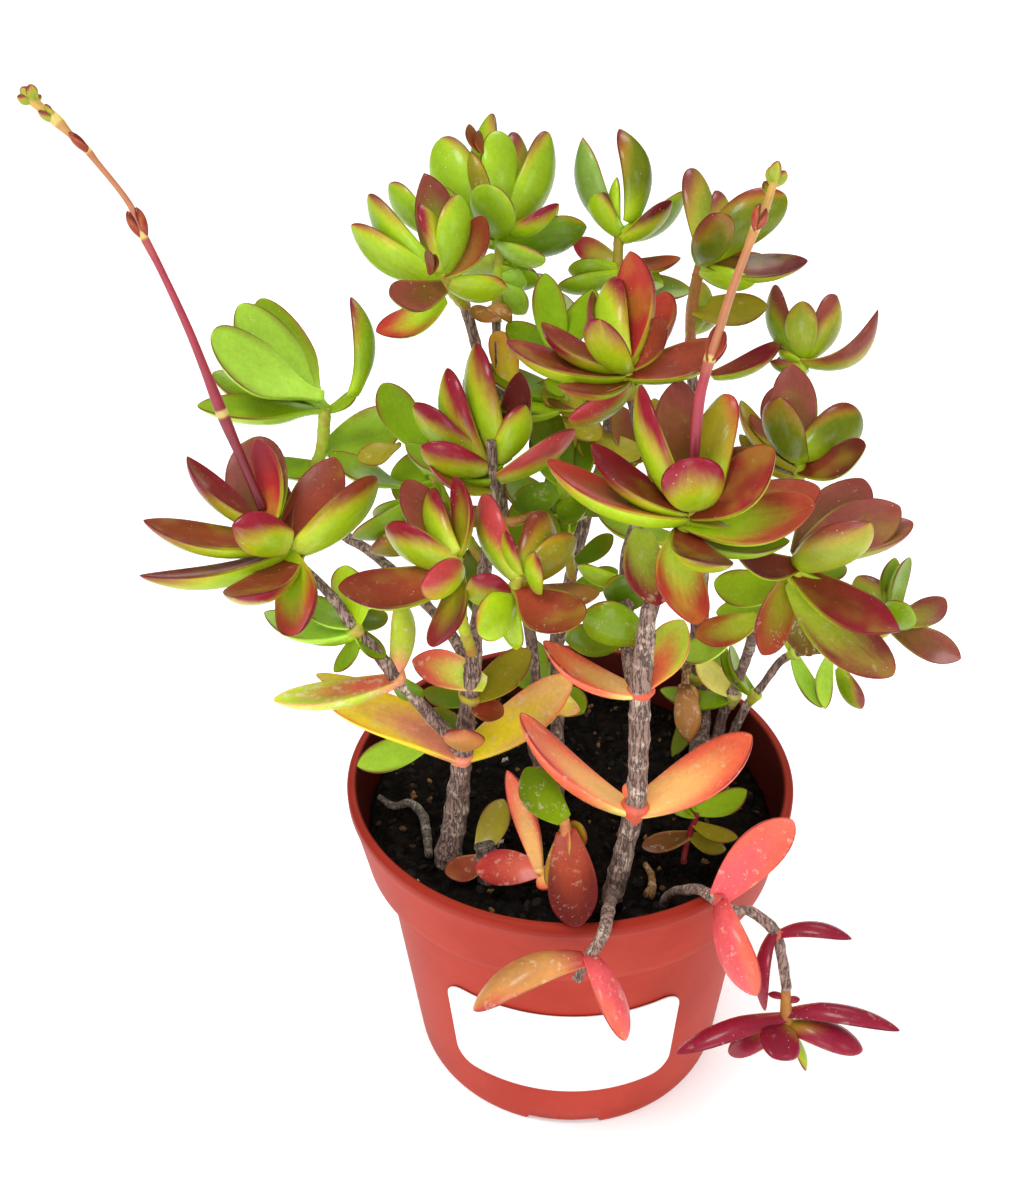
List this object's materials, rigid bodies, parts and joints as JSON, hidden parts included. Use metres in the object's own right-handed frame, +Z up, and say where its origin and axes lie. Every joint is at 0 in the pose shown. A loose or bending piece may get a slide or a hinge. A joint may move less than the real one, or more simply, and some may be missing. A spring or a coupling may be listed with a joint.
{
  "type": "potted crassula",
  "caption": "Bushy succulent with red-edged fleshy leaves on woody stems, slim flower stalks and trailing shoots, in a round tapered nursery pot of soil with a blank label",
  "frame": {"origin": "centre of the flat underside of the pot", "axes": "+Z up along the pot, -Y toward the label at the front, +X to its right"},
  "size_m": [0.1771, 0.1281, 0.2344],
  "materials": {
    "pot": "satin",
    "label": "satin",
    "soil": "rough",
    "bark": "rough",
    "dead_bark": "rough",
    "dry_leaf": "matte",
    "flower_stalk": "satin",
    "leaf_coral": "satin",
    "leaf_crimson": "satin",
    "leaf_green": "satin",
    "leaf_lime": "satin",
    "leaf_mauve": "satin",
    "leaf_olive": "satin",
    "leaf_red": "satin",
    "leaf_yellow": "satin"
  },
  "bodies": {
    "root": {"pot": "pot", "label": "label", "soil": "soil", "stem_front_left": "bark", "stem_front_right": "bark", "stem_back_left": "bark", "stem_back": "bark", "stem_right_trunk": "bark", "stem_right": "bark", "stem_far_right": "bark", "stem_trailing_right": "bark", "flower_stalk_left": "flower_stalk", "flower_stalk_right": "flower_stalk", "dead_twig": "dead_bark", "dried_curl": "dry_leaf", "grey_stub": "dead_bark", "dried_leaf_hanging": "dry_leaf", "rosette_left": "leaf_red", "rosette_upper_left": "leaf_lime", "rosette_back_left": "leaf_green", "rosette_top_left": "leaf_green", "rosette_top": "leaf_green", "rosette_top_middle": "leaf_green", "rosette_top_right": "leaf_mauve", "rosette_red_centre": "leaf_red", "rosette_green_back": "leaf_green", "rosette_green_low": "leaf_green", "rosette_right_upper": "leaf_mauve", "rosette_right": "leaf_mauve", "rosette_right_centre": "leaf_red", "rosette_front_right": "leaf_mauve", "rosette_far_right": "leaf_green", "rosette_centre": "leaf_red", "rosette_front_left": "leaf_red", "rosette_front_middle": "leaf_red", "pair_front_left": "leaf_yellow", "pair_front_left_upper": "leaf_olive", "pair_left_branch": "leaf_yellow", "pair_left_branch_upper": "leaf_green", "pair_front_right_low": "leaf_coral", "pair_front_right_high": "leaf_coral", "pair_front_right_branch": "leaf_green", "pair_right_stem": "leaf_yellow", "pair_far_right_stem": "leaf_green", "pair_far_right_hanging": "leaf_lime", "pair_far_right_end": "leaf_mauve", "pair_right_trunk": "leaf_green", "pair_back_trunk": "leaf_green", "pair_back_left_trunk": "leaf_green", "shoot_front_small": "leaf_coral", "shoot_front_dark": "leaf_yellow", "shoot_right_small": "leaf_green", "trailing_front": "leaf_olive", "trailing_right_upper": "leaf_coral", "trailing_right_middle": "leaf_crimson", "trailing_right_end": "leaf_crimson"}
  },
  "joints": []
}
